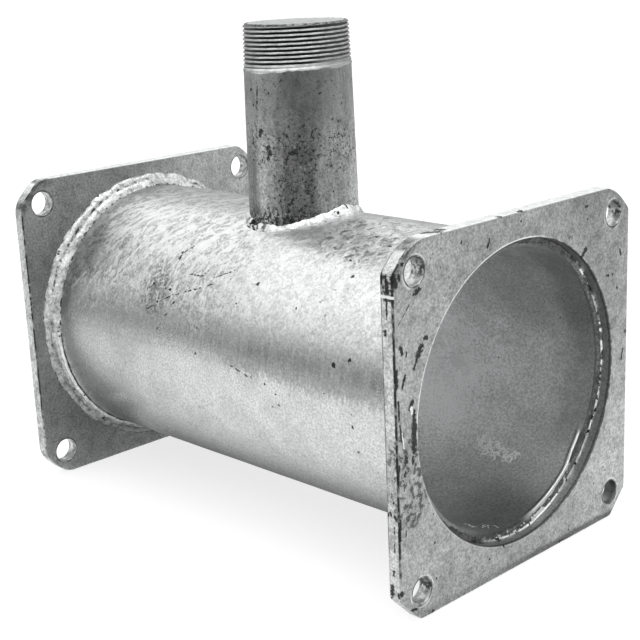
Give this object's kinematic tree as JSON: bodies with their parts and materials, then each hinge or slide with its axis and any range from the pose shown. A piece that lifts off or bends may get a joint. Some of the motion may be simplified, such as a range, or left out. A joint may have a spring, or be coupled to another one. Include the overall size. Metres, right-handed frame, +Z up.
{
  "type": "pipe tee",
  "caption": "Welded galvanised steel pipe tee: a plain run pipe with square plate flanges at its ends and a narrower branch, threaded at its end, standing on its middle.",
  "frame": {"origin": "on the floor, under the point where the axes of the run pipe and the branch cross", "axes": "+X along the run pipe towards the front flange, +Y across it, +Z up along the branch"},
  "size_m": [0.31, 0.19, 0.28],
  "materials": {
    "zinc_run_pipe": "bright hot-dip zinc with drag marks and small scratches",
    "zinc_flange": "mottled hot-dip zinc, matt, with a few drips and pits",
    "zinc_branch": "dull dark hot-dip zinc, pitted; thread brushed bright",
    "zinc_weld": "rippled weld bead under bright zinc"
  },
  "bodies": {
    "root": {"run_pipe": "zinc_run_pipe", "flange_front": "zinc_flange", "flange_rear": "zinc_flange", "branch_nipple": "zinc_branch", "weld_front_outer": "zinc_weld", "weld_front_inner": "zinc_weld", "weld_rear_outer": "zinc_weld", "weld_rear_inner": "zinc_weld", "weld_branch": "zinc_weld"}
  },
  "joints": []
}
